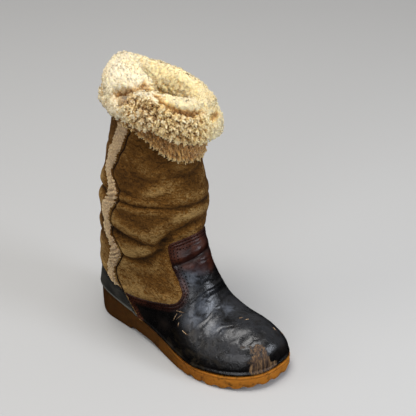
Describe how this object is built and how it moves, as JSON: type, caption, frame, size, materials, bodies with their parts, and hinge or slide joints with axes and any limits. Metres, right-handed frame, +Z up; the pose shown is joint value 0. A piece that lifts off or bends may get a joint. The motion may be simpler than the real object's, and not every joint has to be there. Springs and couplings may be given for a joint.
{
  "type": "fur-lined boot",
  "caption": "Right mid-calf winter boot: gum wedge sole, black leather vamp and counter, suede shaft with a fleece side strip, and a turned-down fleece cuff over a fleece-lined inside.",
  "frame": {"origin": "on the floor, under the middle of the boot's bounding box", "axes": "+X to the toe, +Y to the inner side of the foot, +Z up from the floor"},
  "size_m": [0.28, 0.137, 0.3499],
  "materials": {
    "gum_rubber": "amber gum rubber, satin, browner towards the heel",
    "felt": "wool felt",
    "suede": "olive-tan suede side of shearling, napped and creased",
    "black_leather": "smooth black leather over brown, worn semi-gloss with scuffs",
    "grey_leather": "smooth grey-black leather, dull",
    "fleece": "curly cream-yellow sheep's fleece"
  },
  "bodies": {
    "root": {"outsole": "gum_rubber", "insole": "felt", "upper": "suede", "vamp": "black_leather", "heel_counter": "grey_leather", "side_strip": "fleece", "cuff": "fleece"}
  },
  "joints": []
}
